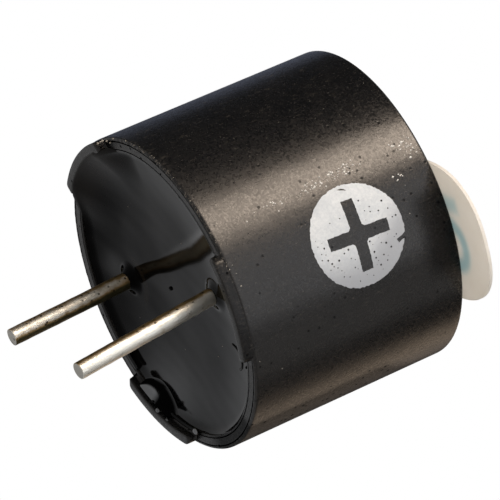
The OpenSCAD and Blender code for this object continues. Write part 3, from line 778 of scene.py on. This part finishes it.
def lead_rings(side, reach, lean, splay):
    """Rings (middle, axis, radius) down a lead: bare and shouldered in the resin, tinned, and cut square."""
    lean, splay = math.radians(lean), math.radians(splay)
    flat = math.cos(lean)
    down = Vector((side * math.sin(splay) * flat, math.sin(lean), -math.cos(splay) * flat))
    bend = Vector((side * LEAD_X, LEAD_Y, BEND_Z))
    length = (BEND_Z + reach) / -down.z
    upright = [(BOARD_TOP_Z, BARE_R), (LAND_Z, BARE_R), (LAND_Z, SHOULDER_R)]
    upright += [(LAND_Z - SHOULDER_T, SHOULDER_R), (LAND_Z - SHOULDER_T, BARE_R), (BEND_Z + 0.1, BARE_R)]
    rings = [(Vector((bend.x, bend.y, z)), Vector((0, 0, -1)), r) for z, r in upright]
    start, steps, square = 0.02, 90, 0.04
    for i in range(steps + 1):
        s = start + (length - start) * i / steps
        if length - s > square:
            rings.append((bend + down * s, down, LEAD_R))
    # The cut end: (distance before the end, radius)
    cut = ((0.02, LEAD_R), (0.006, LEAD_R - 0.003), (0.0, LEAD_R - 0.012), (0.0, LEAD_R - 0.03))
    cut += ((0.003, LEAD_R * 0.5),)
    return rings + [(bend + down * (length - short), down, r) for short, r in cut]


def build_lead(name, node, side, reach, lean, splay, seed, dull):
    """A lead as one closed tube. Its tin is uneven by about 0.01 mm. Dull says how tarnished it is, how far
    painted shade darkens its lower side, and how much darker it grows towards the case.
    """
    segments = 56
    skin, tarnish_and_painted_shade, sawn = [], [], []
    for centre, axis, r in lead_rings(side, reach, lean, splay):
        across = axis.cross(Vector((0, 1, 0))).normalized()
        along = axis.cross(across).normalized()
        skin.append([])
        for k in range(segments):
            t = 2 * math.pi * k / segments
            out = across * math.cos(t) + along * math.sin(t)
            uneven = 0.0
            if r > 0.29 and centre.z < BEND_Z:
                uneven = 0.010 * ripple(out.x * r, out.y * r, centre.z + seed, 0.42) - 0.004
            skin[-1].append(centre + out * (r + uneven))
            root = 0.8 * dull * smoothstep(-1.8, 0.5, centre.z)
            upper = 0.66 * (1 - 1.1 * dull) * smoothstep(0.30, 0.92, out.dot(TARNISH_SIDE))
            # Painted shade on the lower side of the duller lead.
            lower = 3.2 * dull * smoothstep(-0.25, 0.55, out.y)
            tarnish_and_painted_shade.append(0.09 + 0.1 * dull + upper + lower + root)
            sawn.append(1.0 if centre.z < 0 and r < LEAD_R - 0.02 else 0.0)
    vertices, faces = capped_tube(skin)
    piece = mesh_piece(name, vertices, faces)
    put_mask(piece, "tarnish_and_painted_shade", tarnish_and_painted_shade + [0.0, 0.0])
    put_mask(piece, "cut_end", sawn + [0.0, 1.0])
    piece.data.materials.append(tin)
    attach(piece, "root")
    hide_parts(node)


build_lead("tinned_lead_positive", "positive_lead", 1, reach=5.25, lean=4.7, splay=2.0, seed=3.0, dull=0.0)
build_lead("tinned_lead_negative", "negative_lead", -1, reach=4.3, lean=3.2, splay=2.0, seed=11.0, dull=0.3)

# ---------------------------------------------------------------- beads of spilt resin


def bead(path, radius, flat):
    """A tapered, closed bead along a path of points: (points, faces)."""
    segments, steps = 14, 18
    path = [Vector(p) for p in path]
    lengths = [0.0]
    for a, b in zip(path, path[1:]):
        lengths.append(lengths[-1] + (b - a).length)
    total = lengths[-1] + 2 * radius
    rings = []
    for i in range(1, steps):
        s = total * (1 - math.cos(math.pi * i / steps)) / 2 - radius
        inner = min(max(s, 0.0), lengths[-1])
        k = max(j for j in range(len(path) - 1) if lengths[j] <= inner)
        way = (path[k + 1] - path[k]).normalized()
        centre = path[k] + way * (inner - lengths[k]) + way * (s - inner)
        short = max(-s, s - lengths[-1], 0.0)
        r = math.sqrt(max(0.0, radius**2 - short**2))
        side = way.cross(Vector((0, 0, 1))).normalized()
        turns = [-2 * math.pi * j / segments for j in range(segments)]
        ring = [centre + side * r * math.cos(t) + Vector((0, 0, flat * r * math.sin(t))) for t in turns]
        rings.append(ring)
    return capped_tube(rings)


def dot(x, y, z, radius, flat, gloss):
    """A bead that is nearly round: its short path, and the rest as given."""
    return ((x - 0.01, y, z), (x + 0.01, y, z)), radius, flat, gloss


def around(r, z, first, last):
    """Nine points at radius r from one angle to another."""
    angles = [math.radians(first + (last - first) * i / 8) for i in range(9)]
    return [(r * math.cos(t), r * math.sin(t), z) for t in angles]


# A thread of resin that lies in a loop near the positive lead
LOOPED_THREAD = (
    (3.96, 1.62, 0.55),
    (4.22, 1.74, 0.54),
    (4.40, 1.98, 0.52),
    (4.34, 2.28, 0.52),
    (4.10, 2.52, 0.55),
    (3.90, 2.60, 0.58),
)

# All beads: (path, radius, flatness, gloss). Gloss is painted: above 1 it paints the bubbles' highlights,
# near 0.1 it paints a bead dark.
RESIN_BEADS = (
    (around(5.42, 0.42, 149.0, 142.5), 0.10, 0.8, 0.35),
    dot(-2.83, 4.74, 0.22, 0.12, 0.8, 3.0),
    dot(-2.45, 5.02, 0.14, 0.07, 0.8, 0.7),
    dot(-3.20, 4.42, 0.14, 0.06, 0.8, 0.1),
    dot(-2.91, 4.72, 0.10, 0.11, 0.8, 2.2),
    dot(-2.40, 5.05, 0.10, 0.08, 0.8, 1.6),
    dot(-2.62, 4.90, 0.12, 0.05, 0.8, 0.1),
    dot(-0.70, 5.36, 0.28, 0.13, 0.9, 3.0),
    (around(5.45, 0.36, 116.0, 98.0), 0.08, 1.0, 0.1),
    (LOOPED_THREAD, 0.05, 0.8, 0.1),
    dot(-0.26, -0.01, 0.79, 0.08, 0.6, 0.05),
)


def build_spilt_resin():
    vertices, faces, gloss = [], [], []
    for path, radius, flat, painted_gloss in RESIN_BEADS:
        points, quads = bead(path, radius, flat)
        gloss += [painted_gloss] * len(points)
        faces += [tuple(i + len(vertices) for i in q) for q in quads]
        vertices += points
    piece = mesh_piece("spilt_resin", vertices, faces)
    put_mask(piece, "gloss_and_painted_light", gloss)
    piece.data.materials.append(epoxy)
    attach(piece, "root")


build_spilt_resin()

# ---------------------------------------------------------------- dust, filler grains and specks

# Flecks of dust on the case's side: (angle, height, size)
SIDE_FLECKS = (
    (-28.5, 4.6, 0.07), (-26.8, 4.6, 0.06), (-29.2, 4.4, 0.05), (-28.7, 4.9, 0.05), (-28.3, 5.4, 0.06),
    (-29.0, 5.6, 0.07), (-27.9, 5.6, 0.05), (-29.8, 5.9, 0.06), (-30.3, 6.2, 0.05), (-29.1, 6.4, 0.06),
    (-27.3, 6.5, 0.08), (-25.8, 6.6, 0.06), (-25.2, 6.8, 0.05), (-31.4, 7.9, 0.04), (-25.2, 8.1, 0.06),
    (-23.8, 8.4, 0.05), (-26.9, 9.0, 0.08), (-26.1, 9.05, 0.06), (-29.7, 9.0, 0.06), (-27.2, 8.4, 0.05),
    (-6.9, 7.8, 0.04), (-28.1, 4.1, 0.05), (-12.1, 0.62, 0.06), (-15.2, 0.6, 0.05), (-7.5, 0.62, 0.07),
    (27.7, 1.49, 0.05), (20.8, 0.6, 0.05),
)
# Clusters of filler grains on the side, painted bright as glints: (angle, height, spread round it, spread
# along it, count)
GRAIN_CLUSTERS = (
    (-28.5, 3.2, 1.0, 0.45, 14),
    (-28.9, 4.6, 1.0, 0.45, 26),
    (-29.6, 5.7, 1.0, 0.40, 26),
    (-30.6, 6.3, 1.2, 0.25, 16),
    (-28.2, 8.8, 1.6, 0.28, 30),
    (-31.5, 8.7, 1.0, 0.25, 12),
    (-20.3, 7.8, 1.8, 0.22, 8),
)
# Scorched specks on the side: (angle, height)
SCORCHED = (
    (-29.1, 7.97), (-26.9, 8.01), (-28.7, 7.78), (-25.5, 8.06), (-27.1, 7.56), (-29.0, 8.39),
    (-31.9, 7.67), (-23.0, 8.09), (-25.5, 7.68), (-25.3, 8.31), (-22.6, 7.81), (-20.8, 8.27),
    (-28.2, 8.15), (-26.2, 7.84), (-30.2, 6.9), (-29.6, 6.4), (-30.6, 5.9), (-27.5, 6.9),
    (-29.9, 5.2), (-31.0, 4.6), (-27.6, 2.4), (-29.4, 1.9),
)
# Grit on the resin's skin: (x, y, size)
RESIN_GRIT = (
    (1.95, 2.39, 0.06),
    (1.75, -1.94, 0.04),
    (-1.62, -3.05, 0.04),
    (2.53, 1.94, 0.04),
    (-0.59, 2.38, 0.03),
)
# Crumbs of moulding flash at the end of a foot: (x, y, z, size)
FLASH_CRUMBS = (
    (-1.02, -5.80, 0.10, 0.11),
    (-0.85, -5.86, 0.14, 0.09),
    (-0.70, -5.90, 0.16, 0.12),
    (-1.15, -5.66, 0.10, 0.08),
    (-0.52, -5.88, 0.24, 0.09),
    (-0.40, -5.80, 0.30, 0.08),
    (-0.10, -5.98, 0.32, 0.07),
    (-1.30, -5.72, 0.05, 0.06),
)
HIGHEST_GRAIN = 9.15


def crumb(x, y, z, size):
    """A tiny six-cornered grain: (points, faces)."""
    points = []
    for axis in range(3):
        for side in (-1, 1):
            p = [x, y, z]
            p[axis] += side * size * rng.uniform(0.3, 0.65)
            points.append(tuple(p))
    faces = [(a, b, c) if (a + b + c) % 2 else (a, c, b) for a in (0, 1) for b in (2, 3) for c in (4, 5)]
    return points, faces


def on_side(angle, z):
    """The place on the case's side at this angle and height."""
    a = math.radians(angle)
    return side_r(z) * math.cos(a), side_r(z) * math.sin(a), z


def build_crumbs(name, spots, finish):
    """One piece of many grains on the case: spots are (x, y, z, size)."""
    vertices, faces = [], []
    for spot in spots:
        points, corners = crumb(*spot)
        faces += [tuple(i + len(vertices) for i in f) for f in corners]
        vertices += points
    piece = mesh_piece(name, vertices, faces, smooth=False)
    piece.data.materials.append(finish)
    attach(piece, "root")


def build_dust():
    """Listed flecks, finer dust, most of it on one side, grit on the resin, and flash crumbs."""
    dust = [(*on_side(angle, z), size) for angle, z, size in SIDE_FLECKS]
    for count, first, last, least, most in ((60, -62, -24, 0.018, 0.034), (40, 0, 360, 0.015, 0.03)):
        for _ in range(count):
            dust.append((*on_side(rng.uniform(first, last), rng.uniform(0.8, 9.0)), rng.uniform(least, most)))
    dust += [(x, y, resin_height(x, y), size) for x, y, size in RESIN_GRIT]
    build_crumbs("settled_dust", dust + list(FLASH_CRUMBS), dust_fluff)


def build_bright_filler():
    """Filler grains in clusters, painted near white as glints in the highlight."""
    grains = []
    for angle, z, wide, high, count in GRAIN_CLUSTERS:
        for _ in range(count):
            spot = on_side(rng.gauss(angle, wide), min(rng.gauss(z, high), HIGHEST_GRAIN))
            grains.append((*spot, rng.uniform(0.03, 0.095)))
    build_crumbs("bright_filler", grains, glint_painted_filler)


def build_bared_filler():
    """Grains that chafing bared along the low rim, fewer towards its far side."""
    grains = []
    for _ in range(60):
        a = math.radians(-14 - 70 * rng.random() ** 1.4)
        r = side_r(FOOT_H) - rng.uniform(0.0, 0.05)
        z = FOOT_H + rng.uniform(0.02, 0.09)
        grains.append((r * math.cos(a), r * math.sin(a), z, rng.uniform(0.015, 0.045)))
    build_crumbs("bared_filler", grains, bared_filler)


def build_scorched_specks():
    specks = [(*on_side(angle, z), rng.uniform(0.03, 0.06)) for angle, z in SCORCHED]
    build_crumbs("scorched_specks", specks, scorched_plastic)


build_dust()
build_bright_filler()
build_bared_filler()
build_scorched_specks()

# ---------------------------------------------------------------- flat shapes cut from a plane


def inside(loop, x, y):
    """Whether the point lies inside the closed loop."""
    hit = False
    for i, (x1, y1) in enumerate(loop):
        x0, y0 = loop[i - 1]
        if (y0 > y) != (y1 > y) and x < (x1 - x0) * (y - y0) / (y1 - y0) + x0:
            hit = not hit
    return hit


def filled_region(loops, between):
    """Triangles inside the first loop and outside the others, through the points between: (points, faces)."""
    points, edges = [], []
    for loop in loops:
        first = len(points)
        points += [Vector(p) for p in loop]
        edges += [(first + i, first + (i + 1) % len(loop)) for i in range(len(loop))]
    points += [Vector(p) for p in between]
    made, _, triangles, *_ = delaunay_2d_cdt(points, edges, [], 1, 1e-6)
    kept = []
    for t in triangles:
        x, y = sum((made[i] for i in t), Vector((0, 0))) / 3
        if inside(loops[0], x, y) and not any(inside(loop, x, y) for loop in loops[1:]):
            kept.append(tuple(t))
    return [tuple(p) for p in made], kept


def slab(points, faces, place):
    """A closed sheet: place(x, y, side) gives each point's position, side 0 below and 1 above."""
    count = len(points)
    vertices = [place(x, y, 0) for x, y in points] + [place(x, y, 1) for x, y in points]
    closed = [tuple(reversed(f)) for f in faces] + [tuple(i + count for i in f) for f in faces]
    sides = {}
    for f in faces:
        for i in range(len(f)):
            sides[(f[i], f[(i + 1) % len(f)])] = True
    for a, b in sides:
        if (b, a) not in sides:
            closed.append((a, b, b + count, a + count))
    return vertices, closed


# ---------------------------------------------------------------- label

# The free end is narrower than the label's round back by this much at its two sides, a little shorter than a
# half circle, and a little squarer. A squareness of 2 would be round.
FREE_END_NARROWING = (0.32, 0.33)
FREE_END_SHORTENING = 0.98
FREE_END_SQUARENESS = 2.35


def label_loop(margin):
    """The label's outline, drawn in by margin: a free end and a round back."""
    r = LABEL_R - margin
    power = 2 / FREE_END_SQUARENESS
    half_turn = [math.pi * i / 71 - math.pi / 2 for i in range(72)]
    loop = []
    for t in half_turn:
        c, d = math.cos(t), math.sin(t)
        half_w = r - FREE_END_NARROWING[0 if d < 0 else 1]
        x = LABEL_FREE_X + FREE_END_SHORTENING * r * max(c, 0.0) ** power
        loop.append((x, half_w * math.copysign(abs(d) ** power, d)))
    return loop + [(LABEL_BACK_X - r * math.cos(t), -r * math.sin(t)) for t in half_turn]


def label_print(x, y):
    """How much print lies at this place of the label: a soft ring and a soft bar."""
    ring = abs(math.hypot((x - 5.7) / 0.85, y - 0.45) - 0.8)
    bar = max(abs(x - 6.0) - 0.35, abs(y + 1.2) - 0.18)
    return max(0.8 * (1 - smoothstep(0.05, 0.45, ring)), 0.6 * (1 - smoothstep(-0.1, 0.3, bar)))


def build_label():
    step = 0.12
    inner = label_loop(0.08)
    between = []
    for i in range(int((LABEL_FREE_X - LABEL_BACK_X + 2 * LABEL_R) / step)):
        for j in range(int(2 * LABEL_R / step)):
            x = LABEL_BACK_X - LABEL_R + (i + 0.5) * step
            y = -LABEL_R + (j + 0.5) * step
            if inside(inner, x, y):
                between.append((x, y))
    points, faces = filled_region([label_loop(0.0)], between)
    turn = math.radians(LABEL_ANGLE)

    def place(x, y, upper):
        z = CASE_H + LABEL_T * upper
        return (x * math.cos(turn) - y * math.sin(turn), x * math.sin(turn) + y * math.cos(turn), z)

    vertices, closed = slab(points, faces, place)
    piece = mesh_piece("seal_label_film", vertices, closed, smooth=False)
    # The print is on the upper side. Below, it shows through weaker.
    prints = [label_print(x, y) for x, y in points]
    put_mask(piece, "print_tone", [0.55 * p for p in prints] + [0.9 * p for p in prints])
    piece.data.materials.append(film)
    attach(piece, "root")
    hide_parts("seal_label")


build_label()

# ---------------------------------------------------------------- printed plus sign

# The sign's two bars: half their width, half their lengths, and how far the sign is turned and raised
BAR_HALF_W = 0.235
ARMS = (1.335, 1.245)
SIGN_TURN = -2.5
SIGN_RISE = 0.04

# Places of pinholes in the ink, along the case's side and its height, from the disc's middle
PINHOLES = (
    (-0.78, 0.83), (-0.6, 0.79), (-0.52, 1.1), (-0.8, 1.36), (-0.46, 1.48), (-0.11, 1.52), (-1.13, 0.53),
    (0.59, 0.78), (0.67, 0.96), (0.88, 1.11), (0.52, 1.45), (0.8, 0.41), (1.04, 0.74), (1.29, 0.83),
    (1.35, 0.53), (1.03, 0.41), (0.57, -1.02), (0.58, -1.32), (0.7, -1.28), (0.41, -1.43), (0.32, -1.65),
    (-0.05, -1.42), (0.68, -0.54), (1.05, -0.49), (0.41, -0.74), (1.2, -1.01), (-0.12, 1.67), (0.38, 0.36),
    (0.34, -0.54), (0.8, -1.15),
)
INK_CHIP = ((0.48, 1.95), (0.63, 1.66), (0.70, 1.40), (0.86, 1.46), (0.80, 1.60), (0.74, 1.95))
INK_HAIR = ((-1.8, -0.06), (-1.785, 0.1), (-1.73, 0.21), (-1.63, 0.28), (-1.69, 0.17), (-1.74, 0.03))
ALL_PINHOLES = 56


def plus_loop():
    """Outline of the plus sign, with slightly filled inner corners. Its arms are shorter along the case."""
    a = math.radians(SIGN_TURN)
    loop = []
    for q in range(4):
        w, arm = BAR_HALF_W, ARMS[(q + 1) % 2]
        for x, y in ((w, arm), (-w, arm), (-w - 0.01, w + 0.10), (-w - 0.10, w + 0.01)):
            for _ in range(q):
                x, y = -y, x
            loop.append((x * math.cos(a) - y * math.sin(a), SIGN_RISE + x * math.sin(a) + y * math.cos(a)))
    return loop


def ragged_loop(loop, step, jag, seed):
    """Splits a loop's sides into steps and roughens them by up to jag."""
    fine = []
    for i, (x0, y0) in enumerate(loop):
        x1, y1 = loop[(i + 1) % len(loop)]
        n = max(1, int(math.hypot(x1 - x0, y1 - y0) / step))
        for k in range(n):
            x, y = x0 + (x1 - x0) * k / n, y0 + (y1 - y0) * k / n
            fine.append((x + jag * ripple(x, y, seed, 0.09), y + jag * ripple(x, y, seed + 7, 0.09)))
    return fine


def pinholes():
    """The pinholes (x, y, radius): those with a place of their own, then finer ones clear of the sign."""
    holes = [(x, y, rng.uniform(0.026, 0.044)) for x, y in PINHOLES]
    while len(holes) < ALL_PINHOLES:
        x, y, r = rng.uniform(-0.9, 1.7), rng.uniform(-1.7, 1.4), rng.uniform(0.014, 0.026)
        in_sign = min(max(abs(x), abs(y) - 1.0), max(abs(x) - 1.1, abs(y))) < 0.36
        crowded = any(math.hypot(x - a, y - b) < 0.12 for a, b, _ in holes)
        if math.hypot(x, y) < 1.7 and not in_sign and not crowded:
            holes.append((x, y, r))
    return holes


def build_plus():
    turns = np.linspace(0, 2 * math.pi, 190, endpoint=False)
    disc = [(PLUS_R * 1.02 * math.cos(t), PLUS_R * math.sin(t)) for t in turns]
    loops = [ragged_loop(disc, 0.05, 0.04, 1.0), ragged_loop(plus_loop(), 0.06, 0.024, 4.0)]
    for x, y, r in pinholes():
        loops.append([(x + r * math.cos(t), y + r * math.sin(t)) for t in turns[::27]])
    loops += [INK_CHIP, INK_HAIR]
    # Points between the outlines let the ink follow the case's round side.
    steps = np.arange(-PLUS_R, PLUS_R, 0.16)
    between = [(x, y) for x in steps for y in steps if math.hypot(x, y) < PLUS_R - 0.06]
    points, faces = filled_region(loops, between)

    def place(x, y, upper):
        z = PLUS_Z + y
        r = side_r(z) + (0.014 if upper else -0.01)
        t = math.radians(PLUS_ANGLE) + x / CASE_R
        return (r * math.cos(t), r * math.sin(t), z)

    vertices, closed = slab(points, faces, place)
    piece = mesh_piece("polarity_print", vertices, closed, smooth=False)
    # Painted shade across the disc: greyer towards one side.
    ink_painted_shade = [smoothstep(0.2, 1.5, 0.95 * x + 0.75 * y - 0.1 - 0.9 * min(0.0, y)) for x, y in points]
    put_mask(piece, "ink_painted_shade", ink_painted_shade + ink_painted_shade)
    piece.data.materials.append(ink)
    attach(piece, "root")


build_plus()

# ---------------------------------------------------------------- stage, lamps and camera

TOWARDS_CAMERA = (0.8794, -0.2449, -0.4082)
CAMERA_RIGHT = (0.4678, 0.2865, 0.8361)
CAMERA_UP = (-0.0878, -0.9262, 0.3666)
# In metres
CAMERA_PLACE = (0.3784475, -0.1056065, -0.1715195)
FLOOR_Z = -5.4
FLOOR_HALF_W = 400


def floor_finish():
    """Pale grey seamless paper. The eye, and gloss that mirrors it once, find it evenly pale, with a soft
    shadow. What is mirrored twice finds it brown and dim. A camera below it sees through it."""
    material, tree = new_material("pale_paper_floor")
    side = add(tree, "NewGeometry")
    path = add(tree, "LightPath")
    below = {0: (side, "Backfacing"), 1: (path, "Is Camera Ray")}
    seen_from_below = add(tree, "Math", below, operation="MULTIPLY")
    seen = {0: (path, "Is Camera Ray"), 1: (path, "Is Glossy Ray")}
    shown = add(tree, "Math", seen, operation="MAXIMUM")
    twice = add(tree, "Math", {0: (path, "Glossy Depth"), 1: 1.5}, operation="GREATER_THAN")
    greys = {"Factor": (shown, "Value"), FIRST: srgb("#c6c6c4"), SECOND: srgb("#8c8c8c")}
    grey = add(tree, "Mix", greys, data_type="RGBA")
    paper = add(tree, "BsdfDiffuse", {"Color": (grey, MIXED)})
    glows = {"Factor": (twice, "Value"), FIRST: srgb("#b9bbbe"), SECOND: srgb("#655e44")}
    glow_colour = add(tree, "Mix", glows, data_type="RGBA")
    glow = add(tree, "Emission", {"Color": (glow_colour, MIXED), "Strength": (shown, "Value")})
    lit = add(tree, "AddShader", {0: (paper, "BSDF"), 1: (glow, "Emission")})
    clear = add(tree, "BsdfTransparent")
    floor = add(tree, "MixShader", {0: (seen_from_below, "Value"), 1: (lit, "Shader"), 2: (clear, "BSDF")})
    add(tree, "OutputMaterial", {"Surface": (floor, "Shader")})
    material.cycles.emission_sampling = "NONE"
    return material


def build_floor():
    corners = [(x * FLOOR_HALF_W, y * FLOOR_HALF_W, FLOOR_Z) for x, y in ((-1, -1), (1, -1), (1, 1), (-1, 1))]
    floor = mesh_piece("paper_floor", corners, [(0, 1, 2, 3)], smooth=False)
    floor.data.materials.append(floor_finish())


def studio_world():
    """White behind the object, for the eye and for what metal mirrors there, and a dark room elsewhere."""
    world = bpy.data.worlds.new("studio_room")
    bpy.context.scene.world = world
    world.use_nodes = True
    tree = world.node_tree
    tree.nodes.clear()
    path = add(tree, "LightPath")
    place = add(tree, "TexCoord")
    backdrop_way = tuple(-c for c in TOWARDS_CAMERA)
    facing = add(tree, "VectorMath", {0: (place, "Generated"), 1: backdrop_way}, operation="DOT_PRODUCT")
    on_sweep = add(tree, "MapRange", {"Value": (facing, "Value"), "From Min": 0.995, "From Max": 0.999})
    in_mirror = {0: (path, "Is Glossy Ray"), 1: (on_sweep, "Result")}
    mirrored = add(tree, "Math", in_mirror, operation="MULTIPLY")
    straight = {0: (path, "Is Camera Ray"), 1: (path, "Is Transmission Ray")}
    plain = add(tree, "Math", straight, operation="MAXIMUM")
    seen = add(tree, "Math", {0: (plain, "Value"), 1: (mirrored, "Value")}, operation="MAXIMUM")
    room = add(tree, "Background", {"Color": srgb("#ffffff"), "Strength": 0.03})
    white = add(tree, "Background", {"Color": srgb("#ffffff"), "Strength": 1.0})
    both = add(tree, "MixShader", {0: (seen, "Value"), 1: (room, "Background"), 2: (white, "Background")})
    add(tree, "OutputWorld", {"Surface": (both, "Shader")})


def softbox(name, azimuth, elevation, distance, width, height, radiance, colour, aim=4.5):
    """A soft lamp that faces the case's axis at height aim. Azimuth is from +X towards +Y."""
    lamp = bpy.data.lights.new(name, "AREA")
    lamp.shape = "RECTANGLE"
    lamp.size = width * MM
    lamp.size_y = height * MM
    lamp.energy = radiance * math.pi * width * height * MM * MM
    lamp.color = srgb(colour)[:3]
    box = bpy.data.objects.new(name, lamp)
    box.visible_camera = False
    a, e = math.radians(azimuth), math.radians(elevation)
    out = Vector((math.cos(a) * math.cos(e), math.sin(a) * math.cos(e), math.sin(e)))
    box.location = (out * distance + Vector((0, 0, aim))) * MM
    box.rotation_mode = "QUATERNION"
    box.rotation_quaternion = (-out).to_track_quat("-Z", "Y")
    bpy.context.scene.collection.objects.link(box)


def place_camera():
    """A camera so far off that the view is nearly parallel: 24 times as far as the view is wide."""
    camera = bpy.data.cameras.new("camera")
    camera.sensor_width = 36.0
    camera.lens = 24 * camera.sensor_width
    camera.clip_start = 0.01
    camera.clip_end = 5.0
    stand = bpy.data.objects.new("camera", camera)
    turned = Matrix((CAMERA_RIGHT, CAMERA_UP, TOWARDS_CAMERA)).transposed()
    stand.matrix_world = Matrix.Translation(CAMERA_PLACE) @ turned.to_4x4()
    bpy.context.scene.collection.objects.link(stand)
    bpy.context.scene.camera = stand


build_floor()
studio_world()
softbox("key_softbox", -46.5, 24, 90, 35, 60, 11.2, "#fff2e4")
softbox("front_card", 2, 17, 60, 54, 44, 1.52, "#f0f6ff", aim=3.0)
softbox("front_edge_card", 52, 24, 80, 44, 60, 0.45, "#ffffff")
softbox("table_bounce", 110, 24, 90, 34, 60, 0.85, "#f6dcc0")
softbox("table_far", 129, 24, 90, 26, 60, 0.4, "#f2dcc8")
softbox("dim_back", 152, 24, 120, 50, 60, 0.07, "#ffe9d8")
softbox("sky_back", -169, 24, 120, 54, 60, 0.2, "#cfdcff")
softbox("overhead", 60, 80, 120, 90, 90, 0.8, "#ffffff")
place_camera()
bpy.context.scene.view_settings.view_transform = "Standard"
